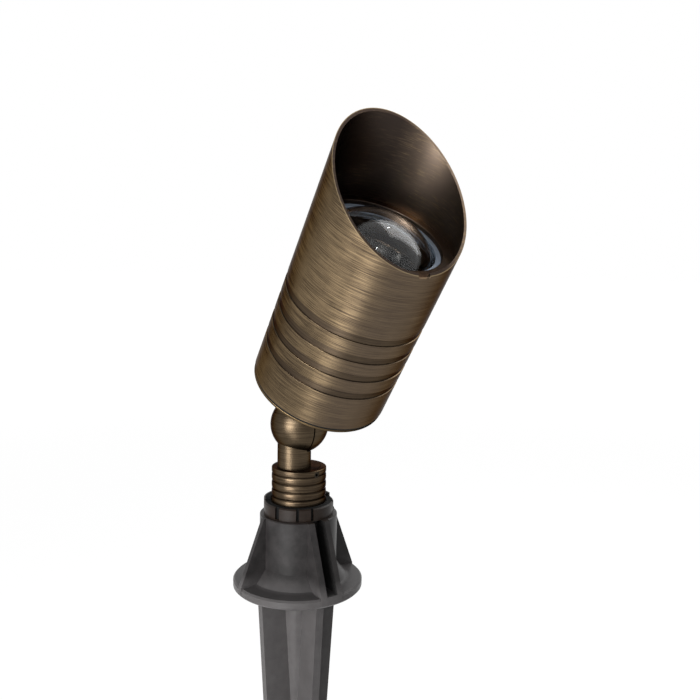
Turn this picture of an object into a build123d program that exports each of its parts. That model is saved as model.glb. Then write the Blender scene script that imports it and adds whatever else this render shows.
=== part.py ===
from build123d import *
import math
import os

# Garden spike spotlight, in millimetres. Z is up and the origin is on the spike's axis at ground level.
# The lamp leans towards -Y. Its pieces are drawn upright, with the knuckle's centre at their origin and
# the lamp's axis along +Z, and head_pose then leans them over and lifts them onto the stem.

# ---------------------------------------------------------------- driving dimensions
# Whole light
lean = 34.7              # lean of the lamp from upright, in degrees
knuckle_height = 80.5    # knuckle centre above the ground
lamp_offset = 1.9        # lamp axis beside the spike axis, along +X
running_gap = 0.07       # radial play of parts that turn or slide in each other
fit_gap = 0.02           # gap between parts that are fixed to each other

# Shroud: a tube with a slanting mouth and four turned bands
shroud_radius = 31.75
shroud_wall = 1.3
shroud_foot = 27.8       # lower edge of the tube above the knuckle centre
mouth_height = 101.55    # height of the slanting mouth on the tube's axis
mouth_slant = 30.8       # slant of the mouth, in degrees
band_first = 19.7        # centre of the lowest band above the tube's lower edge
band_pitch = 9.77
band_width = 3.45
band_depth = 0.5
band_count = 4
lens_shelf_top = 81.4    # inner shelf above the tube's lower edge
lens_shelf_bore = 26.0
lens_shelf_thickness = 2.0
drain_width = 5.8
drain_depth = 1.7

# Lens and its seal
dome_radius = 31.1
dome_base_radius = 23.4
lens_thickness = 3.0
lens_rim_radius = 28.4
seal_lip = 0.95
seal_lip_bore = 23.9
seal_outer_radius = 30.3
seal_foot_bore = 25.6
clip_thickness = 1.4
clip_bore = 28.0
clip_bite = 0.5          # how far the clip's groove is cut into the tube's wall
clip_mouth = 9.0         # gap between the clip's ends

# Base cap
cap_flange_radius = 31.45
cap_flange_edge = 1.2
gasket_gap = 0.9
cap_boss_radius = 13.3
cap_boss_foot = 20.8
spigot_height = 9.0      # spigot above the tube's lower edge
spigot_wall = 3.0
cap_floor = 2.6          # thickness of the cap's floor above its flange
ring_heights = (2.6, 6.2)
ring_section = 0.88      # radius of the round sealing rings' section
ring_groove_depth = 1.85
ring_groove_width = 2.2

# Knuckle
ball_radius = 14.1
ball_gap = 0.35          # each half stops this far from the parting plane
neck_radius = 8.15
neck_offset = 2.8        # neck axis beside the ball's centre
neck_length = 20.75      # from the ball's centre to the neck's foot
neck_start = 4.0         # where the neck starts inside the ball
ball_clearance = 0.45    # between a half's neck and the other half's ball
bore_start = 7.2         # where the wire bore leaves the wire chamber
tooth_count = 36
tooth_height = 0.25
thread_radius = 10.3     # half-inch pipe thread, drawn as a plain cylinder
wire_bore = 3.4
clamp_shank = 2.93
clamp_hole = 3.0
clamp_seat = 7.4         # screw head's seat, from the parting plane
clamp_head_radius = 5.0
clamp_head_height = 5.2
clamp_thread_end = 10.6  # depth of the clamp screw's thread in the lower half
clamp_washer_height = 0.98
tooth_inner_radius = 10.5
tooth_outer_radius = 13.7
chamber_outer_radius = 9.0
chamber_inner_radius = 5.2
chamber_depth = 4.6
stem_length = 14.0       # threaded stem below the lower neck
stud_radius = 8.0        # stud of the upper half, through the cap's floor
stud_wall = 3.4
stud_reach = 9.0         # stud's end above the tube's lower edge

# Collar
collar_radius = 13.3
collar_top = 59.7
rib_pitch = 3.8
rib_count = 4
rib_top = 56.9           # top of the uppermost rib
rib_foot = 41.6          # where the collar sits on the spike
collar_foot = 27.6       # lower end of its thread in the spike
rib_groove = 0.5
thread_root = 0.6        # chamfer at the thread's lower end
stem_bore = 6.9          # wire bore under the stem
set_screw_radius = 1.5
set_screw_key = 0.75     # half the key's width across flats
set_screw_height = 57.6
set_screw_angle = 9.4    # from the front, in degrees

# Spike
barrel_radius = 18.9
barrel_top = 36.6
crown_radius = 17.0
crown_bore = 13.7
crown_top = 42.7
crown_lug_top = 44.0
crown_lug_width = 9.7
crown_lugs = (-139.5, 100.5)          # the two higher lugs' turns from the front, in degrees
wide_notches = (-67.5, 52.5, 172.5)   # turns of the crown's notches
narrow_notches = (-32.3, -8.0)
wide_notch = 2.3
narrow_notch = 1.4
notch_depth = 1.1
flange_radius = 31.75
flange_thickness = 4.4
fin_reach = 33.6         # fins' reach at ground level
fin_taper = 0.38         # how much the reach shrinks for each millimetre of height
fin_thickness = 2.6
slot_width = 5.5
slot_wall = 3.0
slot_lip = 2.2           # wall left between the slot and the collar's thread
chamber_radius = 8.6
chamber_foot = 5.0
chamber_top = 26.5       # top of the wire chamber, under the collar's thread
stake_length = 185.0
stake_reach = 21.0
stake_blade = 4.0
stake_point = 1.2        # half the width of a pair of blades at the point

# Lamp: a 50 mm reflector lamp with two pins
lamp_face = 66.0         # face of the lamp above the tube's lower edge
lamp_radius = 25.35
lamp_base_top = 40.0
lamp_base_foot = 29.0
capsule_radius = 4.3
pin_radius = 0.76
pin_pitch = 5.33
pin_length = 7.0
socket_foot = 14.1
socket_top = 28.8

# Inside the lamp
nut_across = 24.0        # stud nut, across its flats
nut_height = 5.0
washer_height = 1.18
bracket_sheet = 1.0
bracket_width = 13.0
bracket_leg = 16.4       # inner faces of the bracket's legs, from its middle
bracket_foot = 24.5      # ends of its feet, from its middle
bracket_screw_reach = 20.5
socket_screw_reach = 8.2
lead_radius = 0.85
lead_spacing = 2.9       # between the leads in the grommet
grommet_top = 9.9

# Worked out from these. Heights are above the tube's lower edge.
inner_radius = shroud_radius - shroud_wall
spigot_radius = inner_radius - running_gap
seal_top = lens_shelf_top - lens_shelf_thickness - fit_gap
rim_top = seal_top - seal_lip
rim_foot = rim_top - lens_thickness
seal_foot = rim_foot - seal_lip
clip_foot = seal_foot - clip_thickness - 0.05
clip_groove_radius = inner_radius + clip_bite
flange_top = -gasket_gap
flange_foot = flange_top - cap_flange_edge
boss_foot = cap_boss_foot - shroud_foot
floor_top = flange_top + cap_floor
bracket_top = socket_foot - 0.05
stud_end = shroud_foot + stud_reach   # above the knuckle's centre
slot_outer = slot_width + 2 * slot_wall
head_pose = Pos(0, 0, knuckle_height) * Rot(lean, 0, 0)
lamp_pose = head_pose * Pos(lamp_offset, 0, shroud_foot)

os.makedirs("parts", exist_ok=True)


# ---------------------------------------------------------------- helpers
standing = (Align.CENTER, Align.CENTER, Align.MIN)


def ring(outer, inner, low, high):
    """A flat ring about Z, or a disc when inner is zero."""
    height = high - low
    body = Pos(0, 0, low) * Cylinder(outer, height, align=standing)
    if inner > 0:
        body -= Pos(0, 0, low - 1) * Cylinder(inner, height + 2, align=standing)
    return body


def turned(points):
    """A solid turned about Z from an outline of (radius, height) corners."""
    outline = Plane.XZ * make_face(Polyline(*points, close=True))
    return revolve(outline, Axis.Z)


def block(x, y, z, low):
    """A block centred on Z that stands on the height low."""
    return Pos(0, 0, low) * Box(x, y, z, align=standing)


def sideways(radius, start, end):
    """A round bar along X, from start to end, through the origin's height."""
    bar = Cylinder(radius, end - start, align=standing)
    return Pos(start, 0, 0) * Rot(0, 90, 0) * bar


def save(name, *solids):
    """Write one named piece, which may be a group of like solids."""
    shape = solids[0] if len(solids) == 1 else Compound(children=list(solids))
    export_step(shape, f"parts/{name}.step")


# ---------------------------------------------------------------- shroud
def shroud_tube():
    """Brass tube, cut on the slant, with turned bands, a lens shelf, a clip groove and a drain notch."""
    tall = mouth_height + shroud_radius
    tube = ring(shroud_radius, inner_radius, 0, tall)
    shelf_foot = lens_shelf_top - lens_shelf_thickness
    tube += ring(inner_radius + 0.2, lens_shelf_bore, shelf_foot, lens_shelf_top)
    for index in range(band_count):
        band_foot = band_first + index * band_pitch - band_width / 2
        tube -= ring(shroud_radius + 1, shroud_radius - band_depth, band_foot, band_foot + band_width)
    tube -= ring(clip_groove_radius, inner_radius - 1, clip_foot - 0.05, clip_foot + clip_thickness + 0.05)
    cutter = block(4 * shroud_radius, 4 * shroud_radius, tall, 0)
    tube -= Pos(0, 0, mouth_height) * Rot(mouth_slant, 0, 0) * cutter
    low_edge = mouth_height - shroud_radius * math.tan(math.radians(mouth_slant))
    notch = make_face(
        Polyline(
            (-drain_width / 2 - 0.7, low_edge + 3),
            (-drain_width / 2, low_edge),
            (-drain_width / 2 + 1.1, low_edge - drain_depth),
            (drain_width / 2 - 1.1, low_edge - drain_depth),
            (drain_width / 2, low_edge),
            (drain_width / 2 + 0.7, low_edge + 3),
            close=True,
        )
    )
    tube -= Pos(0, -shroud_radius + 3, 0) * extrude(Plane.XZ * notch, 6)
    return tube


# ---------------------------------------------------------------- lens, seal and clip
def domed_lens():
    """Clear glass dome with a flat rim, hollow on its lower side."""
    rise = math.sqrt(dome_radius ** 2 - dome_base_radius ** 2)
    centre = rim_top - rise
    outer_top = centre + dome_radius
    inner_curve = dome_radius - lens_thickness
    inner_base = math.sqrt(inner_curve ** 2 - (rim_foot - centre) ** 2)
    partway = math.radians(28)
    outer_middle = (dome_radius * math.sin(partway), centre + dome_radius * math.cos(partway))
    inner_middle = (inner_curve * math.sin(partway), centre + inner_curve * math.cos(partway))
    arc_out = ThreePointArc((dome_base_radius, rim_top), outer_middle, (0, outer_top))
    arc_in = ThreePointArc((0, centre + inner_curve), inner_middle, (inner_base, rim_foot))
    rim = Polyline(
        (inner_base, rim_foot), (lens_rim_radius, rim_foot),
        (lens_rim_radius, rim_top), (dome_base_radius, rim_top),
    )
    crown = Line((0, outer_top), (0, centre + inner_curve))
    return revolve(Plane.XZ * make_face(arc_out + crown + arc_in + rim), Axis.Z)


def lens_seal():
    """Soft ring of U section that wraps the lens rim."""
    wrap = lens_rim_radius + fit_gap
    lip_foot = rim_top + fit_gap
    ledge = rim_foot - fit_gap
    return turned(
        [
            (seal_lip_bore, lip_foot), (seal_lip_bore, seal_top),
            (seal_outer_radius, seal_top), (seal_outer_radius, seal_foot),
            (seal_foot_bore, seal_foot), (seal_foot_bore, ledge), (wrap, ledge), (wrap, lip_foot),
        ]
    )


def lens_clip():
    """Split spring ring that snaps into the tube's groove under the seal."""
    clip = ring(clip_groove_radius - running_gap, clip_bore, clip_foot, clip_foot + clip_thickness)
    return clip - Pos(0, clip_groove_radius, 0) * block(clip_mouth, 8, 4, clip_foot - 1)


# ---------------------------------------------------------------- base cap and its seals
def base_cap():
    """Turned brass cap: boss, dished underside, flange, and a spigot with two seal grooves."""
    cup = spigot_radius - spigot_wall
    bore = stud_radius + 0.05
    cap = turned(
        [
            (bore, boss_foot), (cap_boss_radius - 0.8, boss_foot), (cap_boss_radius, boss_foot + 0.8),
            (cap_boss_radius, boss_foot + 3.2), (cap_boss_radius + 1.4, flange_foot - 0.9),
            (cap_flange_radius, flange_foot), (cap_flange_radius, flange_top),
            (spigot_radius, flange_top), (spigot_radius, spigot_height - 0.7),
            (spigot_radius - 0.7, spigot_height), (cup, spigot_height), (cup, floor_top), (bore, floor_top),
        ]
    )
    for height in ring_heights:
        cap -= ring(
            spigot_radius + 1, spigot_radius - ring_groove_depth, height - ring_groove_width / 2,
            height + ring_groove_width / 2,
        )
    for side in (-1, 1):
        cap -= Pos(0, side * bracket_screw_reach, 0) * ring(1.45, 0, flange_foot + 1.6, floor_top + 1)
    return cap


def spigot_o_ring(height):
    """One round sealing ring in its groove."""
    return Pos(0, 0, height) * Torus(spigot_radius - ring_section - fit_gap, ring_section)


def base_gasket():
    """Flat black ring between the tube's lower edge and the cap's flange."""
    return ring(cap_flange_radius - 0.15, inner_radius + 0.06, flange_top + fit_gap, -fit_gap)


# ---------------------------------------------------------------- knuckle
def knuckle_half(stud_axis, stud, stud_end):
    """One half of the knuckle, drawn with its ball half on the +X side and its neck upwards."""
    beyond = 4 * ball_radius
    keep = Pos(ball_gap, 0, 0) * Box(beyond, beyond, beyond, align=(Align.MIN, Align.CENTER, Align.CENTER))
    half = Rot(0, 90, 0) * Sphere(ball_radius) & keep
    neck = Pos(neck_offset, 0, 0) * ring(neck_radius, 0, neck_start, neck_length)
    half += neck & keep
    half += (neck - keep) - Rot(0, 90, 0) * Sphere(ball_radius + ball_clearance)
    half += Pos(stud_axis, 0, 0) * ring(stud, 0, neck_length, stud_end)
    half += face_teeth()
    chamber_end = ball_gap + chamber_depth
    chamber_core = sideways(chamber_inner_radius, -1, chamber_end + 1)
    half -= sideways(chamber_outer_radius, 0, chamber_end) - chamber_core
    half -= Pos((stud_axis + neck_offset) / 2, 0, 0) * ring(wire_bore, 0, bore_start, neck_length + 1)
    half -= Pos(stud_axis, 0, 0) * ring(stud - stud_wall, 0, neck_length + 0.5, stud_end + 1)
    return half


def face_teeth():
    """Fine radial teeth that lock the tilt, standing out along -X round the rim of a half's flat face."""
    wide = math.pi * tooth_inner_radius / tooth_count
    root = 0.1
    profile = make_face(Polyline((-wide / 2, -root), (wide / 2, -root), (0, tooth_height), close=True))
    bar = extrude(profile, tooth_outer_radius - tooth_inner_radius)
    tooth = Pos(0, 0, tooth_inner_radius) * Rot(0, 0, 90) * bar
    step = 360 / tooth_count
    return [Pos(ball_gap, 0, 0) * Rot(step * index, 0, 0) * tooth for index in range(tooth_count)]


def upper_knuckle():
    """Lamp's half of the knuckle, with the stud that holds the base cap and a seat for the clamp screw."""
    half = knuckle_half(lamp_offset, stud_radius, stud_end)
    half -= sideways(clamp_hole + 0.4, 0, ball_radius)
    half -= sideways(clamp_head_radius + 0.7, clamp_seat, ball_radius + 1)
    return half


def lower_knuckle():
    """Stem's half of the knuckle, with the pipe-threaded stem that turns in the collar."""
    half = knuckle_half(0, thread_radius, neck_length + stem_length)
    half -= sideways(clamp_hole, 0, clamp_thread_end)
    return Rot(0, 180, 0) * half


def knuckle_seal():
    """Flat ring between the two halves, round the wire chamber."""
    outer = tooth_inner_radius - 0.4
    face = ball_gap - fit_gap
    return sideways(outer, -face, face - 0.1) - sideways(chamber_outer_radius + 0.1, -1, 1)


def clamp_screw():
    """Socket-head screw on the tilt axis."""
    head_foot = clamp_seat + clamp_washer_height + 0.07
    head_end = head_foot + clamp_head_height
    screw = sideways(clamp_head_radius, head_foot, head_end)
    screw = chamfer(screw.edges().group_by(Axis.X)[-1], 0.5)
    screw += sideways(clamp_shank, -clamp_thread_end + 0.9, head_foot + 0.5)
    key = extrude(RegularPolygon(2.5, 6, major_radius=False), clamp_head_height)
    return screw - Pos(head_foot + clamp_head_height / 2, 0, 0) * Rot(0, 90, 0) * key


def clamp_washer():
    """Spring washer under the clamp screw's head."""
    foot = clamp_seat + fit_gap
    washer = sideways(clamp_head_radius + 0.2, foot, foot + clamp_washer_height)
    return washer - sideways(clamp_shank + 0.25, 0, ball_radius)


# ---------------------------------------------------------------- inside the lamp
def stud_nut():
    """Hexagon nut that draws the cap onto the knuckle's stud."""
    body = extrude(RegularPolygon(nut_across / 2, 6, major_radius=False), nut_height)
    body -= ring(stud_radius + 0.05, 0, -1, nut_height + 1)
    corner, edge = nut_across / 2 + 1.7, nut_across / 2 + 0.6
    upper = nut_height - 0.9
    body &= turned([(0, 0), (edge, 0), (corner, 0.9), (corner, upper), (edge, nut_height), (0, nut_height)])
    return Pos(0, 0, floor_top + washer_height + 0.07) * body


def stud_washer():
    """Thin washer under the nut."""
    return ring(14.2, stud_radius + running_gap, floor_top + fit_gap, floor_top + fit_gap + washer_height)


def socket_bracket():
    """Bent steel strap that carries the lamp socket over the nut."""
    inner, outer = bracket_leg, bracket_leg + bracket_sheet
    foot, foot_top = floor_top + fit_gap, floor_top + bracket_sheet
    right = [
        (inner, bracket_top - bracket_sheet), (inner, foot), (bracket_foot, foot),
        (bracket_foot, foot_top), (outer, foot_top), (outer, bracket_top),
    ]
    left = [(-reach, height) for reach, height in reversed(right)]
    strap = extrude(Plane.YZ * make_face(Polyline(*right, *left, close=True)), bracket_width / 2, both=True)
    strap -= ring(4.6, 0, bracket_top - 3, bracket_top + 1)
    for side in (-1, 1):
        strap -= Pos(0, side * bracket_screw_reach, 0) * ring(1.75, 0, floor_top - 1, floor_top + 3)
        strap -= Pos(0, side * socket_screw_reach, 0) * ring(1.3, 0, bracket_top - 3, bracket_top + 1)
    return strap


def pan_screw(shank, length, head, head_height):
    """A small screw hanging from the origin, with its round head above it and a cross slot."""
    screw = ring(head, 0, 0, head_height) + ring(shank, 0, -length, 0.2)
    slot_foot = head_height - 0.8
    return screw - block(head * 1.3, 0.7, 2, slot_foot) - block(0.7, head * 1.3, 2, slot_foot)


def lamp_socket():
    """Ceramic two-pin socket, with ears for its screws and pin holes in its top."""
    middle = socket_foot + 4.0
    body = fillet(block(11.0, 21.0, 4.0, socket_foot).edges().filter_by(Axis.Z), 2.0)
    body += fillet(block(11.0, 12.4, socket_top - middle, middle).edges().filter_by(Axis.Z), 1.6)
    for side in (-1, 1):
        pin_hole = ring(pin_radius + running_gap, 0, socket_top - pin_length - 0.6, socket_top + 1)
        lead_hole = ring(lead_radius + 0.05, 0, socket_foot - 1, socket_foot + 2.5)
        body -= Pos(side * pin_pitch / 2, 0, 0) * (pin_hole + lead_hole)
        body -= Pos(0, side * socket_screw_reach, 0) * ring(1.25, 0, socket_foot - 1, middle + 1)
    return body


def lead_grommet():
    """Soft plug that seals the lead wires into the stud's bore."""
    bore = stud_radius - stud_wall - 0.05
    rest = stud_end - shroud_foot + 0.03
    plug = ring(bore, 0, -3.0, rest) + ring(bore + 1.6, 0, rest, grommet_top)
    for side in (-1, 1):
        plug -= Pos(side * lead_spacing / 2, 0, 0) * ring(lead_radius + 0.05, 0, -4, grommet_top + 1)
    return plug


def socket_lead(side):
    """One insulated lead, from the socket down into the grommet."""
    wide = side * pin_pitch / 2
    narrow = side * lead_spacing / 2
    path = FilletPolyline(
        (wide, 0, socket_foot + 2.4), (wide, 0, socket_foot - 1.2),
        (narrow, 0, grommet_top + 1.5), (narrow, 0, grommet_top - 2.0),
        radius=1.0,
    )
    return sweep(Plane(path @ 0, z_dir=path % 0) * Circle(lead_radius), path)


# ---------------------------------------------------------------- lamp
def lamp_reflector():
    """Pressed glass reflector, open at its face."""
    outside = ThreePointArc((lamp_radius, lamp_face - 2.2), (19.6, lamp_face - 14.5), (8.6, lamp_base_top))
    inside = ThreePointArc((5.2, lamp_base_top + 1.4), (17.6, lamp_face - 13.0), (23.2, lamp_face))
    foot = Polyline((8.6, lamp_base_top), (5.2, lamp_base_top), (5.2, lamp_base_top + 1.4))
    face = Polyline((23.2, lamp_face), (lamp_radius, lamp_face), (lamp_radius, lamp_face - 2.2))
    return revolve(Plane.XZ * make_face(outside + foot + inside + face), Axis.Z)


def lamp_base():
    """Ceramic foot of the lamp, with its narrow lower block."""
    foot = block(15.6, 10.2, lamp_base_top - lamp_base_foot - 0.02, lamp_base_foot)
    foot = fillet(foot.edges().filter_by(Axis.Z), 2.2)
    return foot + ring(5.1, 0, lamp_base_top - 0.1, lamp_base_top + 2.6)


def lamp_pin(side):
    """One contact pin."""
    pin = ring(pin_radius, 0, lamp_base_foot - pin_length, lamp_base_foot - 0.01)
    return Pos(side * pin_pitch / 2, 0, 0) * pin


def lamp_capsule():
    """Small quartz bulb, closed and domed at its top."""
    foot = lamp_base_top + 2.62
    dome = [(3.7, foot + 11.5), (2.0, foot + 13.2), (0, foot + 14.0)]
    return turned([(0, foot), (capsule_radius, foot), (capsule_radius, foot + 9.5), *dome])


def set_screw():
    """Short headless screw in the collar, with a hexagon key hole."""
    inner, outer = thread_radius + 0.35, collar_radius - 0.25
    screw = sideways(set_screw_radius - 0.05, inner, outer)
    key = extrude(RegularPolygon(set_screw_key, 6, major_radius=False), 3)
    screw -= Pos(outer - 1.3, 0, 0) * Rot(0, 90, 0) * key
    return Pos(0, 0, set_screw_height) * Rot(0, 0, set_screw_angle - 90) * screw


# ---------------------------------------------------------------- collar
def stem_collar():
    """Ribbed brass collar: it screws into the spike, and the stem turns inside it."""
    rib_out = collar_radius
    rib_in = collar_radius - rib_groove
    points = [(0, collar_foot), (thread_radius - thread_root, collar_foot)]
    points += [(thread_radius, collar_foot + 0.8), (thread_radius, rib_foot), (rib_in, rib_foot)]
    for index in reversed(range(rib_count)):
        top = rib_top - index * rib_pitch
        foot = top - rib_pitch
        points += [(rib_in, foot + 0.25), (rib_out - 0.1, foot + 0.75), (rib_out, foot + 1.3)]
        points += [(rib_out, top - 1.3), (rib_out - 0.1, top - 0.7), (rib_in, top - 0.25)]
    points += [(rib_in, rib_top), (rib_out, rib_top + 0.6), (rib_out, collar_top - 0.35)]
    points += [(rib_out - 0.35, collar_top), (0, collar_top)]
    collar = turned(points)
    stem_foot = knuckle_height - neck_length - stem_length
    collar -= ring(thread_radius + running_gap, 0, stem_foot - 0.3, collar_top + 1)
    collar -= ring(stem_bore, 0, collar_foot - 1, collar_top)
    hole = Pos(0, 0, set_screw_height) * sideways(set_screw_radius, stem_bore, collar_radius + 1)
    return collar - Rot(0, 0, set_screw_angle - 90) * hole


# ---------------------------------------------------------------- spike
def fin_blank(turn, thickness, reach, taper, low, high):
    """An upright fin whose outer edge leans in towards the top."""
    outline = make_face(
        Polyline((0, low), (reach - taper * low, low), (reach - taper * high, high), (0, high), close=True)
    )
    return Rot(0, 0, turn) * extrude(Plane.XZ * outline, thickness / 2, both=True)


def ground_spike():
    """One plastic moulding: crown, hub, fins, wire slot, ground flange and four-bladed stake."""
    core_low = -stake_length * 0.55
    collar_seat = rib_foot - fit_gap
    core = [(0, core_low), (2.0, core_low), (8.5, -8.0), (10.0, 0)]
    flange = [
        (flange_radius - 0.8, 0), (flange_radius, 0.8),
        (flange_radius, flange_thickness - 0.8), (flange_radius - 0.8, flange_thickness),
    ]
    cone = [(25.6, flange_thickness), (23.6, 5.1), (22.3, 6.6), (barrel_radius, 11.4)]
    rim = barrel_radius - 0.5
    shoulder = [(barrel_radius, barrel_top - 0.5), (rim, barrel_top), (crown_radius, barrel_top)]
    crown = [
        (crown_radius, crown_top - 0.6), (crown_radius - 0.6, crown_top),
        (crown_bore, crown_top), (crown_bore, collar_seat), (0, collar_seat),
    ]
    hub = turned(core + flange + cone + shoulder + crown)
    for turn in (0, 90, 180):
        hub += fin_blank(turn, fin_thickness, fin_reach, fin_taper, 1.0, barrel_top - 0.4)
    hub += fin_blank(-90, slot_outer, fin_reach, fin_taper, 1.0, barrel_top)
    fin_low = fin_reach - fin_taper * flange_thickness
    fin_high = fin_reach - fin_taper * barrel_top
    hub &= turned(
        [
            (0, -stake_length), (fin_reach, -stake_length), (fin_reach, 0), (fin_low, 0),
            (fin_low, flange_thickness), (fin_high, barrel_top), (fin_high, 60), (0, 60),
        ]
    )
    lug_ring = ring(crown_radius, crown_bore, barrel_top, crown_lug_top)
    for turn in crown_lugs:
        hub += lug_ring & Rot(0, 0, turn) * Pos(0, -crown_radius, 0) * block(crown_lug_width, 10, 60, 0)
    hub -= ring(thread_radius + 0.08, 0, chamber_top, crown_lug_top + 1)
    hub -= ring(chamber_radius, 0, chamber_foot, chamber_top + 1)
    into_chamber = block(slot_width, fin_reach, chamber_top - chamber_foot, chamber_foot)
    before_thread = block(slot_width, fin_reach, barrel_top - chamber_foot, chamber_foot)
    hub -= Pos(0, -fin_reach / 2, 0) * into_chamber
    hub -= Pos(0, -thread_radius - slot_lip - fin_reach / 2, 0) * before_thread
    for width, turns in ((wide_notch, wide_notches), (narrow_notch, narrow_notches)):
        notch = Pos(0, -crown_radius, 0) * block(width, 2 * notch_depth, 20, barrel_top + 0.3)
        for turn in turns:
            hub -= Rot(0, 0, turn) * notch
    for turn in (0, 90, 180, 270):
        hub += stake(turn)
    return hub


def stake(turn):
    """One of the stake's four tapering blades, which meet along the spike's axis."""
    point = -stake_length
    shoulder = (stake_reach, -6)
    waist = (stake_reach - 5.5, point / 2)
    outline = make_face(
        Polyline((0, 0.5), (stake_reach, 0.5), shoulder, waist, (stake_point, point), (0, point), close=True)
    )
    return Rot(0, 0, turn) * extrude(Plane.XZ * outline, stake_blade / 2, both=True)


# ---------------------------------------------------------------- write every piece
save("ground_spike", ground_spike())
save("stem_collar", stem_collar())
save("collar_set_screw", set_screw())
stem_pose = Pos(0, 0, knuckle_height)
save("lower_knuckle", stem_pose * lower_knuckle())
save("knuckle_seal", stem_pose * knuckle_seal())
save("upper_knuckle", head_pose * upper_knuckle())
save("clamp_screw", head_pose * clamp_screw())
save("clamp_washer", head_pose * clamp_washer())
save("base_cap", lamp_pose * base_cap())
save("spigot_o_rings", *[lamp_pose * spigot_o_ring(height) for height in ring_heights])
save("base_gasket", lamp_pose * base_gasket())
save("stud_washer", lamp_pose * stud_washer())
save("stud_nut", lamp_pose * stud_nut())
save("lead_grommet", lamp_pose * lead_grommet())
save("socket_bracket", lamp_pose * socket_bracket())
cap_screw = pan_screw(1.4, 3.1, 2.8, 1.7)
save(
    "bracket_screws",
    *[lamp_pose * Pos(0, side * bracket_screw_reach, floor_top + 1.03) * cap_screw for side in (-1, 1)],
)
ear_screw = pan_screw(1.2, 5.4, 1.9, 1.4)
save(
    "socket_screws",
    *[lamp_pose * Pos(0, side * socket_screw_reach, socket_foot + 4.02) * ear_screw for side in (-1, 1)],
)
save("lamp_socket", lamp_pose * lamp_socket())
save("socket_leads", *[lamp_pose * socket_lead(side) for side in (-1, 1)])
save("lamp_reflector", lamp_pose * lamp_reflector())
save("lamp_base", lamp_pose * lamp_base())
save("lamp_pins", *[lamp_pose * lamp_pin(side) for side in (-1, 1)])
save("lamp_capsule", lamp_pose * lamp_capsule())
save("domed_lens", lamp_pose * domed_lens())
save("lens_seal", lamp_pose * lens_seal())
save("lens_clip", lamp_pose * lens_clip())
save("shroud_tube", lamp_pose * shroud_tube())
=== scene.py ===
import math

import bpy
from mathutils import Matrix, Vector


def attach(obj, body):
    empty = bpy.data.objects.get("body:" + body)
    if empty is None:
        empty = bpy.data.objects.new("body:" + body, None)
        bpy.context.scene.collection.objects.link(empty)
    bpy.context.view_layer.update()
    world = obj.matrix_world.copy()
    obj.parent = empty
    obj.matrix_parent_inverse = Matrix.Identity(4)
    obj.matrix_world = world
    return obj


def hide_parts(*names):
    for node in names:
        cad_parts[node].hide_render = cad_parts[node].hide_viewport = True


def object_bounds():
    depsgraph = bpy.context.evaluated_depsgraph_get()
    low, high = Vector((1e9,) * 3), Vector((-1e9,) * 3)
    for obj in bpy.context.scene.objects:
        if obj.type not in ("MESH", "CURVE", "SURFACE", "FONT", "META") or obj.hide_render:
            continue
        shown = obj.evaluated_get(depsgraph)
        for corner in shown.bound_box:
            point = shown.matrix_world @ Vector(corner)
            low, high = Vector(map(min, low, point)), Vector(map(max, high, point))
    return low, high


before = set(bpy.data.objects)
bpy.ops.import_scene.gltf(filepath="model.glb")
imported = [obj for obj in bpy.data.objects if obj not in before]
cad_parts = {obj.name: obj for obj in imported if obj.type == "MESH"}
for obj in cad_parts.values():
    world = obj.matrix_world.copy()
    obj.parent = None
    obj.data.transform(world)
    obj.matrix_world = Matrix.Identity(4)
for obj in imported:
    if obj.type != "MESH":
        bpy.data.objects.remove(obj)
cad_box = [list(corner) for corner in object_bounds()]

# ---------------------------------------------------------------- camera
# A short tele view from the light's front left, a little above the knuckle and tipped slightly down.
# The lens and place are those that put the tube's and the spike's outlines where the photograph has them.
focal_px, frame_px, sensor_mm = 763.16, 700, 36
camera_place = (-0.1867, -0.31425, 0.15584)
turned_right, tipped_down, rolled = 34.696, 6.273, 1.102
camera_data = bpy.data.cameras.new("camera")
camera_data.sensor_width = sensor_mm
camera_data.lens = focal_px / frame_px * sensor_mm
camera_data.shift_x, camera_data.shift_y = -0.0046, 0.0034
camera = bpy.data.objects.new("camera", camera_data)
bpy.context.scene.collection.objects.link(camera)
heading = Matrix.Rotation(math.radians(-turned_right), 4, "Z")
tip = Matrix.Rotation(math.radians(90 - tipped_down), 4, "X")
roll = Matrix.Rotation(math.radians(rolled), 4, "Z")
camera.matrix_world = Matrix.Translation(camera_place) @ heading @ tip @ roll
bpy.context.scene.camera = camera
bpy.context.scene.view_settings.view_transform = "Standard"


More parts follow.
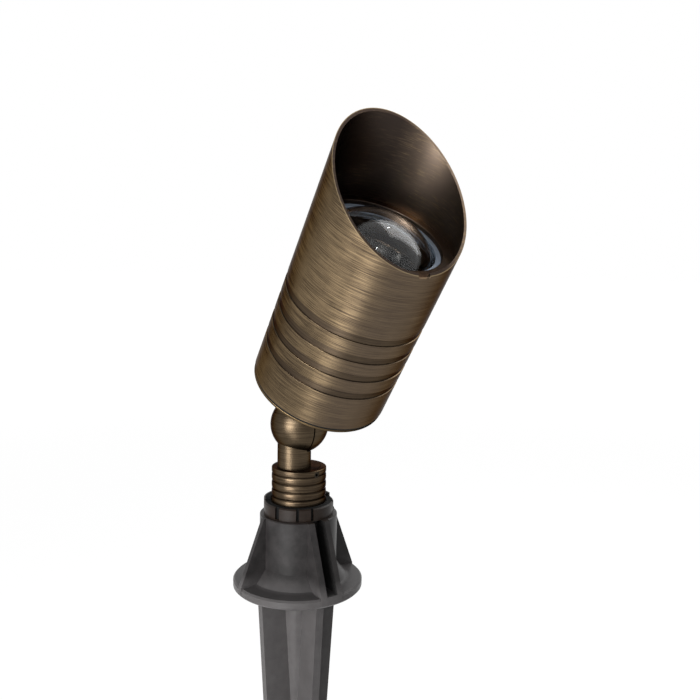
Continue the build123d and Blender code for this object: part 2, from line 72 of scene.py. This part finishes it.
# ---------------------------------------------------------------- shroud tube
# Brass tube with a slanting mouth, turned on a lathe and darkened to an antique bronze.
# Four flat bands are turned into it near its foot. Its right side is painted browner as painted shade, and its
# inside is painted dark as painted shade, lighter on its right as painted light with gold glints of painted
# highlight.
# It pushes over the base cap's two sealing rings, and its low lip has a drain notch.
class Shade:
    """One socket in a material's node tree. Arithmetic on it adds Math nodes."""

    def __init__(self, socket):
        self.socket = socket
        self.tree = socket.id_data

    def node(self, kind, settings=None, out=0, **values):
        """Add a node: its settings are set first, then its sockets' values or links."""
        made = self.tree.nodes.new(kind)
        for name, value in (settings or {}).items():
            setattr(made, name, value)
        for name, value in values.items():
            key = int(name[1:]) if name[1:].isdigit() else name.replace("_", " ")
            if isinstance(value, Shade):
                self.tree.links.new(value.socket, made.inputs[key])
            else:
                made.inputs[key].default_value = value
        return Shade(made.outputs[out])

    def math(self, operation, *others):
        values = {f"i{index}": value for index, value in enumerate((self, *others))}
        return self.node("ShaderNodeMath", {"operation": operation}, **values)

    def __add__(self, other):
        return self.math("ADD", other)

    def __radd__(self, other):
        return self.math("ADD", other)

    def __mul__(self, other):
        return self.math("MULTIPLY", other)

    def __rmul__(self, other):
        return self.math("MULTIPLY", other)

    def __sub__(self, other):
        return self.math("SUBTRACT", other)

    def __rsub__(self, other):
        return (self * -1.0) + other

    def __pow__(self, other):
        return self.math("POWER", other)

    def ramp(self, low, high):
        """0 below low, 1 above high, and smooth between them."""
        settings = {"interpolation_type": "SMOOTHSTEP"}
        return self.node("ShaderNodeMapRange", settings, Value=self, From_Min=low, From_Max=high)

    def mix(self, low, high):
        """Colour low where this is 0 and high where it is 1."""
        settings = {"data_type": "RGBA"}
        return self.node("ShaderNodeMix", settings, out=2, i0=self, i6=low, i7=high)

    def bump(self, height, strength=0.5):
        """A normal raised by this height pattern, in metres."""
        return self.node("ShaderNodeBump", Height=self, Strength=strength, Distance=height)


def colour(red, green, blue):
    return (red, green, blue, 1.0)


def new_finish(name):
    """A material with its shader, and the object coordinates that its patterns read."""
    material = bpy.data.materials.new(name)
    material.use_nodes = True
    shader = material.node_tree.nodes["Principled BSDF"]
    place = Shade(material.node_tree.nodes.new("ShaderNodeTexCoord").outputs["Object"])
    return material, shader, place


def feed(shader, **values):
    """Set or link a shader's sockets."""
    for name, value in values.items():
        socket = shader.inputs[name.replace("_", " ")]
        if isinstance(value, Shade):
            shader.id_data.links.new(value.socket, socket)
        else:
            socket.default_value = value


lean = math.radians(34.7)
knuckle_centre = (0, 0, 0.0805)
lamp_offset = (0.0019, 0, 0.0278)
head_pose = Matrix.Translation(knuckle_centre) @ Matrix.Rotation(lean, 4, "X")
lamp_pose = head_pose @ Matrix.Translation(lamp_offset)
lamp_foot = tuple(lamp_pose.translation)


def beside_lamp(place):
    """Object coordinates turned so that Z runs up the lamp's axis from the tube's lower edge."""
    settings = {"vector_type": "TEXTURE"}
    return place.node("ShaderNodeMapping", settings, Vector=place, Location=lamp_foot, Rotation=(lean, 0, 0))


def parts_of(place):
    """The three numbers of a place."""
    return [place.node("ShaderNodeSeparateXYZ", out=index, Vector=place) for index in range(3)]


def noise(place, scale, detail=3.0, roughness=0.55, stretch=(1, 1, 1)):
    """Cloudy pattern from 0 to 1; stretch draws it out where its number is small."""
    settings = {"operation": "MULTIPLY"}
    drawn = place.node("ShaderNodeVectorMath", settings, i0=place, i1=stretch)
    return place.node("ShaderNodeTexNoise", Vector=drawn, Scale=scale, Detail=detail, Roughness=roughness)


def bare():
    """Select nothing, so that the next operator acts on the new piece alone."""
    if bpy.context.mode != "OBJECT":
        bpy.ops.object.mode_set(mode="OBJECT")
    bpy.ops.object.select_all(action="DESELECT")


def turned(name, outline, sides=160):
    """Turn a piece as on a lathe: a ring is extruded and resized from corner to corner of the outline.
    The outline is (radius, height) in millimetres. One that ends where it began makes a closed wall."""
    bare()
    pole, weld = 0.001, 0.000002
    radius, height = outline[0]
    radius = max(radius, pole)
    place = (0, 0, height / 1000)
    bpy.ops.mesh.primitive_circle_add(vertices=sides, radius=radius / 1000, location=place)
    piece = bpy.context.object
    piece.name = name
    bpy.ops.object.transform_apply(location=True, rotation=True, scale=True)
    bpy.ops.object.mode_set(mode="EDIT")
    bpy.ops.mesh.select_all(action="SELECT")
    for next_radius, next_height in outline[1:]:
        next_radius = max(next_radius, pole)
        rise = (next_height - height) / 1000
        bpy.ops.mesh.extrude_region_move(TRANSFORM_OT_translate={"value": (0, 0, rise)})
        grow = next_radius / radius
        bpy.ops.transform.resize(value=(grow, grow, 1), center_override=(0, 0, next_height / 1000))
        radius, height = next_radius, next_height
    bpy.ops.mesh.select_all(action="SELECT")
    bpy.ops.mesh.remove_doubles(threshold=weld)
    bpy.ops.mesh.normals_make_consistent(inside=False)
    bpy.ops.object.mode_set(mode="OBJECT")
    return piece


def change(piece, kind, **settings):
    """Add a modifier with its settings and apply it."""
    bare()
    piece.select_set(True)
    bpy.context.view_layer.objects.active = piece
    modifier = piece.modifiers.new("change", kind)
    for name, value in settings.items():
        setattr(modifier, name, value)
    bpy.ops.object.modifier_apply(modifier=modifier.name)


def soften(piece, width, angle=30, segments=2):
    """Round the sharp edges by a width in millimetres and shade the rest smooth."""
    change(
        piece, "BEVEL", width=width / 1000, segments=segments, limit_method="ANGLE",
        angle_limit=math.radians(angle), harden_normals=False, use_clamp_overlap=True,
    )
    smooth(piece, 60)


def smooth(piece, angle=32):
    """Shade the piece smooth, and keep its wide faces flat between their rounded edges."""
    bare()
    piece.select_set(True)
    bpy.context.view_layer.objects.active = piece
    bpy.ops.object.shade_smooth_by_angle(angle=math.radians(angle))
    change(piece, "WEIGHTED_NORMAL", keep_sharp=True, weight=100)


def settle(piece, pose, material, body, slot, *nodes):
    """Put a finished piece in its place, give it its material and let it stand for its CAD nodes."""
    bare()
    piece.select_set(True)
    bpy.context.view_layer.objects.active = piece
    piece.matrix_world = pose
    bpy.ops.object.transform_apply(location=True, rotation=True, scale=True)
    piece.data.materials.clear()
    piece.data.materials.append(material)
    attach(piece, body)
    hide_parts(*nodes)
    return piece


def cut_away(piece, tool):
    """Cut a piece with a tool, which is then thrown away."""
    change(piece, "BOOLEAN", operation="DIFFERENCE", solver="EXACT", object=tool)
    bpy.data.objects.remove(tool)


def brass(name, dark, light, across, rough, streak=0.55, wear_and_shade=None):
    """Aged brass: cloudy patina and fine lathe lines that run round the piece.
    Its last argument gives further layers of wear, painted shade and painted light, each a mask and its
    colour, from the lowest to the highest."""
    edge_tint = colour(0.33, 0.31, 0.31)
    material, shader, place = new_finish(name)
    turned_place = across(place)
    cloud = noise(turned_place, 34, detail=5, roughness=0.62, stretch=(1, 1, 0.55))
    fine = noise(turned_place, 5200, detail=2, roughness=0.7, stretch=(0.012, 0.012, 1))
    coarse = noise(turned_place, 2600, detail=4, stretch=(0.018, 0.018, 1))
    lines = ((fine - 0.5) * 4.6 + (coarse - 0.5) * 1.0) * streak
    tone = (cloud - 0.5) * 1.1 + 0.42 + lines
    base = tone.math("MINIMUM", 1.0).math("MAXIMUM", 0.0).mix(dark, light)
    roughness = rough + (cloud - 0.5) * 0.12 - lines * 0.06
    if wear_and_shade:
        for mask, layer_colour in wear_and_shade(turned_place, cloud, coarse):
            base = mask.mix(base, layer_colour)
    feed(shader, Base_Color=base, Roughness=roughness, Metallic=1.0, Specular_Tint=edge_tint)
    feed(shader, Normal=(fine * 0.6 + coarse * 0.5).bump(0.00003, 0.3))
    return material


shroud_radius, shroud_bore = 31.75, 30.45
mouth_height, uncut_height = 101.55, 128
mouth_slant = math.radians(30.8)
foot_chamfer, shelf_chamfer = 0.25, 0.3
band_count, first_band, band_pitch = 4, 19.7, 9.77
band_width, band_depth = 3.45, 0.5
lip_run, lip_drop, side_run = 0.16, 0.05, 0.08
above_bands = 76
shelf_low, shelf_high, shelf_bore = 79.4, 81.4, 26.0

wall = [(shroud_radius - foot_chamfer, 0), (shroud_radius, foot_chamfer)]
floor_radius, lip_radius = shroud_radius - band_depth, shroud_radius - lip_drop
for index in range(band_count):
    middle = first_band + band_pitch * index
    low, high = middle - band_width / 2, middle + band_width / 2
    wall += [(shroud_radius, low - lip_run), (lip_radius, low), (floor_radius, low + side_run)]
    wall += [(floor_radius, high - side_run), (lip_radius, high), (shroud_radius, high + lip_run)]
wall += [(shroud_radius, above_bands), (shroud_radius, uncut_height), (shroud_bore, uncut_height)]
wall += [(shroud_bore, shelf_high), (shelf_bore + shelf_chamfer, shelf_high)]
wall += [(shelf_bore, shelf_high - shelf_chamfer), (shelf_bore, shelf_low)]
wall += [(shroud_bore, shelf_low), (shroud_bore, 0), (shroud_radius - foot_chamfer, 0)]
shroud = turned("shroud", wall, sides=224)
bare()
shroud.select_set(True)
bpy.context.view_layer.objects.active = shroud
bpy.ops.object.mode_set(mode="EDIT")
bpy.ops.mesh.select_all(action="SELECT")
bpy.ops.mesh.bisect(
    plane_co=(0, 0, mouth_height / 1000),
    plane_no=(0, -math.sin(mouth_slant), math.cos(mouth_slant)),
    clear_outer=True,
    use_fill=True,
)
bpy.ops.object.mode_set(mode="OBJECT")

notch_width, notch_depth, notch_corner = 5.8, 1.0, 0.9
notch_place, notch_reach = -31, 8
low_lip = mouth_height - shroud_radius * math.tan(mouth_slant)
bare()
bpy.ops.mesh.primitive_cube_add(size=1, location=(0, notch_place / 1000, low_lip / 1000))
notch = bpy.context.object
notch.scale = (notch_width / 1000, notch_reach / 1000, 2 * notch_depth / 1000)
bpy.ops.object.transform_apply(location=True, rotation=True, scale=True)
soften(notch, notch_corner, segments=4)
cut_away(shroud, notch)
soften(shroud, 0.16, angle=48)


def shroud_wear_and_shade(place, cloud, coarse):
    """Painted shade that browns the right side, darker band floors, a thin rub along the mouth, and the hood's
    inside: painted dark as shade, lighter on its right as painted light with gold glints.
    """
    x, y, z = parts_of(place)
    radius = (x * x + y * y) ** 0.5
    band = (1.0 - radius.ramp(0.03130, 0.03165)) * (1.0 - z.ramp(0.055, 0.056))
    dull = coarse.mix(colour(0.022, 0.016, 0.012), colour(0.070, 0.052, 0.038))

    lip = (z - y * math.tan(mouth_slant)) * 1000.0 - mouth_height
    edge = lip.ramp(-0.24, -0.14)
    # Painted shade: the outside's right side is painted browner.
    shaded_right_side = (x * 0.90 - y * 0.44).ramp(-0.012, 0.004) * 0.6
    shaded_right_brown = coarse.mix(colour(0.078, 0.056, 0.040), colour(0.122, 0.092, 0.070))
    layer_colour = edge.mix(band.mix(shaded_right_brown, dull), colour(0.20, 0.15, 0.09))
    outside = (band * 0.75).math("MAXIMUM", edge).math("MAXIMUM", shaded_right_side)

    cut_face = lip.ramp(-0.10, -0.04) * (1.0 - radius.ramp(0.03140, 0.03160))
    inside = (1.0 - radius.ramp(0.03055, 0.03085)).math("MAXIMUM", cut_face)
    # Painted light and shade inside the hood: its left is painted dark and its right lighter, with gold
    # brushing lines brightened there as painted highlights.
    brushed_glints = noise(place, 2000, detail=4, roughness=0.75, stretch=(0.07, 0.07, 1)).ramp(0.46, 0.80)
    patchy = noise(place, 60, detail=3).ramp(0.35, 0.60)
    lit_right_inside = x.ramp(0.010, 0.028)
    inside_shade_and_light = lit_right_inside.mix(colour(0.040, 0.030, 0.025), colour(0.160, 0.120, 0.092))
    hollow = (brushed_glints * patchy * (lit_right_inside * 0.8 + 0.2)).mix(inside_shade_and_light, colour(0.34, 0.24, 0.13))
    return [(outside, layer_colour), (inside, hollow)]


shroud_finish = brass(
    "antique_brass", colour(0.036, 0.026, 0.018), colour(0.222, 0.160, 0.092), beside_lamp, 0.33,
    streak=0.6, wear_and_shade=shroud_wear_and_shade,
)
settle(shroud, lamp_pose, shroud_finish, "shroud", "shroud_brass", "shroud_tube")


# ---------------------------------------------------------------- lens
# Clear pressed-glass dome with a flat rim 3 mm thick, held in the tube between its seal and the shelf.
# The dome's wall is thinner here than the solid's, and it bends light less, so that the lamp shows through it.
dome_radius, dome_base, rim_radius = 31.1, 23.4, 28.4
rim_top, rim_glass, dome_glass, rim_chamfer = 78.43, 3.0, 1.5, 0.3
dome_centre = rim_top - math.sqrt(dome_radius ** 2 - dome_base ** 2)


def arc(radius, start, stop, steps, centre):
    """Points on an arc about the axis, from one angle off the axis to another, in degrees."""
    angles = [math.radians(start + (stop - start) * step / steps) for step in range(steps + 1)]
    return [(radius * math.sin(angle), centre + radius * math.cos(angle)) for angle in angles]


dome_edge = math.degrees(math.asin(dome_base / dome_radius))
inner_radius, rim_foot = dome_radius - dome_glass, rim_top - rim_glass
inner_edge = math.degrees(math.acos((rim_foot - dome_centre) / inner_radius))
dome = arc(dome_radius, 0, dome_edge, 20, dome_centre)
hollow = arc(inner_radius, inner_edge, 0, 20, dome_centre)
rim = [(rim_radius - rim_chamfer, rim_top), (rim_radius, rim_top - rim_chamfer)]
rim += [(rim_radius, rim_foot + rim_chamfer), (rim_radius - rim_chamfer, rim_foot)]
lens = turned("lens", dome + rim + hollow, sides=128)
smooth(lens)
clear_glass, shader, place = new_finish("clear_glass")
smears = noise(place, 130, detail=4)
feed(shader, Base_Color=smears.mix(colour(0.95, 0.97, 0.98), colour(1, 1, 1)))
feed(shader, Roughness=0.0, IOR=1.30, Transmission_Weight=1.0)
settle(lens, lamp_pose, clear_glass, "shroud", "clear_glass", "domed_lens")

# ---------------------------------------------------------------- lens seal and clip
# The seal is a blue-grey silicone ring of U section that wraps the lens rim; its lip shows round the dome.
# A spring clip of steel wire in a groove under it holds lens and seal up against the shelf.
seal_top, seal_foot, seal_over, seal_under = 79.38, 74.48, 78.5, 75.38
seal_outline = [(23.9, seal_over), (23.9, 79.2), (24.1, seal_top), (30.1, seal_top), (30.3, 79.2)]
seal_outline += [(30.3, 74.7), (30.1, seal_foot), (25.6, seal_foot), (25.6, seal_under)]
seal_outline += [(28.45, seal_under), (28.45, seal_over), (23.9, seal_over)]
seal = turned("seal", seal_outline, sides=128)
smooth(seal)
silicone, shader, place = new_finish("silicone")
dust = noise(place, 420, detail=4).ramp(0.35, 0.75)
feed(shader, Base_Color=(dust * 0.5).mix(colour(0.20, 0.245, 0.31), colour(0.33, 0.37, 0.43)))
feed(shader, Roughness=dust * 0.15 + 0.42, Specular_IOR_Level=0.4)
feed(shader, Normal=dust.bump(0.00004, 0.3))
settle(seal, lamp_pose, silicone, "shroud", "silicone", "lens_seal")


def dress(material, *nodes):
    """Give CAD nodes that show as they are their material."""
    for node in nodes:
        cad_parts[node].data.materials.clear()
        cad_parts[node].data.materials.append(material)


steel, shader, place = new_finish("plated_steel")
stain = noise(place, 240, detail=5)
scratch = noise(place, 1400, detail=2, stretch=(1, 0.15, 0.3))
feed(shader, Base_Color=stain.ramp(0.3, 0.8).mix(colour(0.58, 0.57, 0.54), colour(0.32, 0.29, 0.25)))
feed(shader, Roughness=0.24 + scratch * 0.16, Metallic=1.0, Normal=scratch.bump(0.00003, 0.3))
dress(steel, "lens_clip")

# ---------------------------------------------------------------- lamp
# A 50 mm reflector lamp: pressed glass with small mirror facets, a quartz capsule, and a ceramic foot with two
# pins. It stands in a ceramic socket, held by a steel bracket, with its open face under the lens.
facet_columns, facet_rows = 36, 9
bowl_foot, bowl_widening, bowl_bottom, bowl_depth = 5.3, 18.0, 42.2, 23.8
mirror_outline = []
for row in range(facet_rows + 1):
    share = row / facet_rows
    bowl_radius = bowl_foot + bowl_widening * math.sin(share * math.pi / 2) ** 0.85
    mirror_outline.append((bowl_radius, bowl_bottom + bowl_depth * share ** 1.6))
back_outline = [(25.35, 66.0), (25.35, 63.8), (23.6, 58.6), (19.6, 51.5), (14.0, 45.0), (8.6, 40.1)]
back_outline += [(bowl_foot, 40.1), mirror_outline[0]]
reflector = turned("reflector", mirror_outline + back_outline, sides=facet_columns)
for face in reflector.data.polygons:
    face.use_smooth = False
facets, shader, place = new_finish("mirror_facets")
along = beside_lamp(place)
x, y = parts_of(along)[:2]
# Painted reflection: the facets' base colour is painted bright and dark in stripes round the axis, a starburst
# of reflected light.
spokes = (y.math("ARCTAN2", x) * (facet_columns / 2)).math("SINE") * 0.5 + 0.5
tint = noise(along, 260, detail=3)
sheen = spokes * (tint.ramp(0.35, 0.65) * 0.8 + 0.2)
feed(shader, Base_Color=sheen.mix(colour(0.05, 0.05, 0.052), colour(0.62, 0.61, 0.59)), Metallic=1.0)
feed(shader, Roughness=tint * 0.04 + 0.06)
settle(reflector, lamp_pose, facets, "lamp", "reflector", "lamp_reflector")

capsule_outline = [(0, 42.7), (4.0, 42.7), (4.3, 43.2), (4.3, 52.0)]
capsule_outline += [(3.9, 53.8), (3.0, 55.3), (1.6, 56.4), (0, 56.7)]
capsule = turned("capsule", capsule_outline, sides=40)
smooth(capsule, 60)
quartz, shader, place = new_finish("quartz")
feed(shader, Base_Color=noise(place, 60).mix(colour(0.95, 0.96, 0.98), colour(1.0, 1.0, 1.0)))
feed(shader, Roughness=0.02, Transmission_Weight=1.0, IOR=1.46)
settle(capsule, lamp_pose, quartz, "lamp", "clear_glass", "lamp_capsule")

ceramic, shader, place = new_finish("ceramic")
grit = noise(place, 1100, detail=3)
feed(shader, Base_Color=grit.mix(colour(0.74, 0.71, 0.63), colour(0.86, 0.84, 0.78)))
feed(shader, Roughness=grit * 0.2 + 0.5, Normal=grit.bump(0.00005, 0.4))
dress(ceramic, "lamp_base", "lamp_socket")

sleeve, shader, place = new_finish("lead_sleeve")
weave = noise(place, 2600, detail=1)
feed(shader, Base_Color=weave.mix(colour(0.55, 0.52, 0.46), colour(0.80, 0.77, 0.70)))
feed(shader, Roughness=weave * 0.1 + 0.6)
dress(sleeve, "socket_leads")
dress(steel, "lamp_pins", "socket_bracket", "bracket_screws", "socket_screws")

# ---------------------------------------------------------------- base cap and seals
# Turned brass cap that closes the tube's foot: a boss for the knuckle, a dished underside and a thin flange.
# Its edge shows as a gold line of wear under the black gasket, painted black towards its right side as painted
# shade. Two black rings on its spigot seal the tube.
spigot, groove_floor, half_groove = 30.38, 28.55, 1.1
cap_outline = [(8.05, -7.0), (12.5, -7.0), (13.1, -6.8), (13.3, -6.2), (13.3, -3.9), (14.0, -3.3)]
cap_outline += [(20, -2.75), (28, -2.25), (31.3, -2.05), (31.5, -1.9), (31.5, -1.1), (31.3, -0.9)]
cap_outline += [(spigot, -0.9)]
for ring_height in (2.6, 6.2):
    groove_low, groove_high = ring_height - half_groove, ring_height + half_groove
    cap_outline += [(spigot, groove_low), (groove_floor, groove_low)]
    cap_outline += [(groove_floor, groove_high), (spigot, groove_high)]
cap_outline += [(spigot, 8.3), (29.7, 9.0), (27.38, 9.0), (27.38, 1.7), (8.05, 1.7), (8.05, -7.0)]
cap = turned("cap", cap_outline, sides=160)
soften(cap, 0.12, angle=40)


def cap_wear_and_shade(place, cloud, coarse):
    """Bright wear on the flange's edge, which fades to black towards its right side as painted shade."""
    x, y = parts_of(place)[:2]
    edge = ((x * x + y * y) ** 0.5).ramp(0.0310, 0.0313)
    layer_colour = cloud.mix(colour(0.035, 0.024, 0.014), colour(0.15, 0.105, 0.055))
    # Painted shade: the edge's wear colour is painted black towards the right side.
    return [(edge, x.ramp(-0.012, 0.010).mix(layer_colour, colour(0.006, 0.005, 0.004)))]


cap_finish = brass(
    "cap_brass", colour(0.030, 0.021, 0.014), colour(0.13, 0.096, 0.058), beside_lamp, 0.34, wear_and_shade=cap_wear_and_shade,
)
settle(cap, lamp_pose, cap_finish, "head", "cap_brass", "base_cap")

black_rubber, shader, place = new_finish("black_rubber")
bloom = noise(place, 300, detail=4)
feed(shader, Base_Color=bloom.mix(colour(0.002, 0.002, 0.002), colour(0.007, 0.007, 0.007)))
feed(shader, Roughness=bloom * 0.2 + 0.45, Specular_IOR_Level=0.1)
dress(black_rubber, "spigot_o_rings", "base_gasket", "lead_grommet")
dress(steel, "stud_washer")


# ---------------------------------------------------------------- knuckle
# Two satin brass halves of a ball, each on a neck that stands beside the ball's middle. Fine teeth on their
# faces lock the tilt, a socket-head screw draws them together, and a nut holds the upper one in the cap.
def stem_axis(place):
    """Object coordinates from the knuckle's centre."""
    return place.node("ShaderNodeMapping", {"vector_type": "TEXTURE"}, Vector=place, Location=knuckle_centre)


knuckle_finish = brass(
    "satin_brass", colour(0.028, 0.019, 0.012), colour(0.098, 0.073, 0.046), stem_axis, 0.33, streak=0.5,
)


def merged_copy(name, node):
    """A copy of a CAD node's mesh with its triangles joined up and its flat faces made whole."""
    weld, flat = 0.000003, math.radians(0.4)
    bare()
    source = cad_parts[node]
    piece = bpy.data.objects.new(name, source.data.copy())
    bpy.context.scene.collection.objects.link(piece)
    piece.select_set(True)
    bpy.context.view_layer.objects.active = piece
    bpy.ops.mesh.customdata_custom_splitnormals_clear()
    bpy.ops.object.mode_set(mode="EDIT")
    bpy.ops.mesh.select_all(action="SELECT")
    bpy.ops.mesh.remove_doubles(threshold=weld)
    bpy.ops.mesh.dissolve_limited(angle_limit=flat)
    bpy.ops.object.mode_set(mode="OBJECT")
    return piece


for half, body in (("lower_knuckle", "stem"), ("upper_knuckle", "head")):
    piece = merged_copy(half.replace("_", "_brass_"), half)
    smooth(piece, 28)
    settle(piece, Matrix.Identity(4), knuckle_finish, body, "knuckle_brass", half)

dress(knuckle_finish, "stud_nut")
dress(steel, "clamp_screw", "clamp_washer")
dress(black_rubber, "knuckle_seal")

# ---------------------------------------------------------------- collar
# Brass collar with turned grip ribs and a flat top, screwed into the spike's crown. The stem turns inside it,
# and a small blackened set screw near its top holds the stem.
rib_count, first_rib, rib_pitch = 4, 56.9, 3.8
rib_outline = [(12.95, 0), (12.9, 0.2), (12.95, 0.4), (13.16, 0.65), (13.25, 1.0)]
rib_outline += [(13.3, 1.9), (13.28, 2.8), (13.18, 3.3), (12.97, 3.6)]
collar_outline = [(10.37, 59.3), (10.6, 59.7), (12.9, 59.7), (13.2, 59.5), (13.3, 59.2), (13.3, 57.5)]
collar_outline += [(13.15, 57.2)]
for index in range(rib_count):
    collar_outline += [(radius, first_rib - rib_pitch * index - drop) for radius, drop in rib_outline]
collar_outline += [(12.75, 41.7), (12.6, 41.6), (10.3, 41.6), (10.3, 28.3), (9.7, 27.6), (6.9, 27.6)]
collar_outline += [(6.9, 45.4), (10.37, 45.4), (10.37, 59.3)]
collar = turned("collar", collar_outline, sides=144)
hole_radius, hole_length, hole_reach, hole_height = 0.0015, 0.006, 0.0125, 0.0576
set_screw_turn, quarter = math.radians(9.4), math.radians(90)
bare()
bpy.ops.mesh.primitive_cylinder_add(
    vertices=40, radius=hole_radius, depth=hole_length, rotation=(0, quarter, 0)
)
hole = bpy.context.object
hole.data.transform(Matrix.Translation((hole_reach, 0, 0)) @ hole.matrix_basis)
hole.matrix_basis = Matrix.Rotation(set_screw_turn - quarter, 4, "Z")
hole.location.z = hole_height
cut_away(collar, hole)
smooth(collar, 40)


def collar_groove_shade(place, cloud, coarse):
    """Painted shade, near black, in the grooves between the ribs."""
    x, y, z = parts_of(place)
    radius = (x * x + y * y) ** 0.5
    groove = (1.0 - radius.ramp(0.01293, 0.01316)) * radius.ramp(0.0120, 0.0121)
    under_top = 1.0 - z.ramp(-0.0228, -0.0222)
    groove_shade = coarse.mix(colour(0.003, 0.002, 0.001), colour(0.020, 0.013, 0.008))
    return [(groove * under_top * 0.85, groove_shade)]


collar_finish = brass(
    "collar_brass", colour(0.018, 0.012, 0.008), colour(0.098, 0.071, 0.045), stem_axis, 0.33, streak=0.5,
    wear_and_shade=collar_groove_shade,
)
settle(collar, Matrix.Identity(4), collar_finish, "spike", "collar_brass", "stem_collar")

blackened, shader, place = new_finish("blackened_steel")
soot = noise(place, 900, detail=3)
feed(shader, Base_Color=soot.mix(colour(0.012, 0.010, 0.008), colour(0.045, 0.036, 0.026)))
feed(shader, Roughness=soot * 0.2 + 0.4, Metallic=1.0)
dress(blackened, "collar_set_screw")

# ---------------------------------------------------------------- spike
# One black plastic moulding: a notched crown, a barrel with fins and a wire slot, a round ground flange,
# and a stake of four blades. Its skin is satin and mottled. Its crown is painted darker and browner as painted
# shade with a painted brown reflection of the brass, its flange's top is painted lighter as a painted sheen,
# and its wire slot and crown notches are painted near black as painted shade.
spike = merged_copy("spike", "ground_spike")
smooth(spike, 28)
black_plastic, shader, place = new_finish("black_plastic")
x, y, z = parts_of(place)
mottle = noise(place, 180, detail=6, roughness=0.65)
flow = noise(place, 46, detail=3, stretch=(1, 1, 0.4))
grain = noise(place, 2400, detail=2)
radius = (x * x + y * y) ** 0.5
plastic = mottle.ramp(0.3, 0.75).mix(colour(0.013, 0.012, 0.012), colour(0.024, 0.022, 0.022))
plastic = (flow.ramp(0.5, 0.8) * 0.2).mix(plastic, colour(0.036, 0.028, 0.022))
crown = z.ramp(0.0362, 0.0368)
# Painted shade: the crown is painted darker and browner, with a painted brown reflection of the brass above
# it.
plastic = crown.mix(plastic, mottle.mix(colour(0.006, 0.004, 0.003), colour(0.017, 0.011, 0.008)))
# Painted light: the flange's upward face is painted lighter grey, a sheen of the light from above.
flange_sheen = (1.0 - z.ramp(0.004, 0.012)) * (mottle * 0.5 + 0.5)
plastic = flange_sheen.mix(plastic, colour(0.070, 0.066, 0.066))
# Painted shade: the inside of the wire slot and the crown's notches are painted near black and made rough.
slot_width = 1.0 - x.math("ABSOLUTE").ramp(0.00272, 0.00282)
in_slot = slot_width * (1.0 - y.ramp(-0.014, -0.0125)) * z.ramp(0.0048, 0.0052)
in_notch = crown * (1.0 - radius.ramp(0.0160, 0.0165)) * radius.ramp(0.0136, 0.0138)
shaded = (in_slot * (1.0 - crown)).math("MAXIMUM", in_notch)
plastic = shaded.mix(plastic, colour(0.002, 0.002, 0.002))
feed(shader, Base_Color=plastic, Roughness=mottle * 0.10 + shaded * 0.5 + 0.32, Specular_IOR_Level=0.13)
feed(shader, Normal=(grain * 0.4 + mottle * 0.3).bump(0.00007, 0.35))
settle(spike, Matrix.Identity(4), black_plastic, "spike", "spike_plastic", "ground_spike")

# ---------------------------------------------------------------- floor, background and lamps
# A pale floor under the stake's point and a white background, with the object's shadow kept on the floor.
# A big softbox stands at the left with a small one below it, one is in front and one high at the right. Two
# small lamps make the glass glint.
def background_share(nodes):
    """1 for rays that see the background: the camera's, and those that metal and glass send out."""
    ray = nodes.new("ShaderNodeLightPath")
    straight = Shade(ray.outputs["Is Camera Ray"]) + Shade(ray.outputs["Is Transmission Ray"])
    return (straight + Shade(ray.outputs["Is Glossy Ray"])).math("MINIMUM", 1.0)


floor_size, floor_gap = 60, 0.002
bare()
bpy.ops.mesh.primitive_plane_add(size=floor_size, location=(0, 0, cad_box[0][2] - floor_gap))
ground = bpy.context.object
ground.name = "ground"
pale, shader, place = new_finish("pale_floor")
feed(shader, Base_Color=noise(place, 3).mix(colour(0.84, 0.84, 0.84), colour(0.86, 0.86, 0.86)))
feed(shader, Roughness=0.9)
white = place.node("ShaderNodeEmission", Color=colour(1, 1, 1), Strength=1.05)
x, y = parts_of(place)[:2]
far = ((x * x + y * y) ** 0.5).ramp(0.3, 3.0)
share = background_share(pale.node_tree.nodes) * (far * 0.1 + 0.9)
lit = place.node("ShaderNodeMixShader", i0=share, i1=Shade(shader.outputs["BSDF"]), i2=white)
output = pale.node_tree.nodes["Material Output"]
pale.node_tree.links.new(lit.socket, output.inputs["Surface"])
ground.data.materials.append(pale)

world = bpy.data.worlds.new("studio")
bpy.context.scene.world = world
world.use_nodes = True
back = world.node_tree.nodes["Background"]
share = background_share(world.node_tree.nodes)
back.inputs["Color"].default_value = colour(1, 1, 1)
world.node_tree.links.new((share * 0.80 + 0.20).socket, back.inputs["Strength"])


def soft_lamp(name, place, aim, size, power, height=None):
    """A softbox that points at the light."""
    data = bpy.data.lights.new(name, "AREA")
    data.shape = "RECTANGLE"
    data.size = size
    data.size_y = height or size
    data.energy = power
    lamp = bpy.data.objects.new(name, data)
    bpy.context.scene.collection.objects.link(lamp)
    lamp.location = place
    lamp.rotation_mode = "QUATERNION"
    lamp.rotation_quaternion = (Vector(aim) - Vector(place)).to_track_quat("-Z", "Y")
    lamp.visible_camera = False


middle = (0, -0.05, 0.12)
soft_lamp("key", (-0.64, -0.25, 0.12), middle, 0.34, 8.0, height=0.50)
soft_lamp("low", (-0.20, -0.14, -0.17), (0, -0.07, 0.14), 0.14, 0.40, height=0.26)
soft_lamp("right_top", (0.60, 0.05, 0.75), middle, 0.85, 6)
soft_lamp("front", (-0.50, -0.62, 0.36), (0, -0.10, 0.18), 0.30, 1.8)
soft_lamp("glint", (0.30, -0.13, 0.80), middle, 0.025, 0.12)
soft_lamp("front_glint", (-0.10, -0.60, 0.78), middle, 0.025, 0.12)
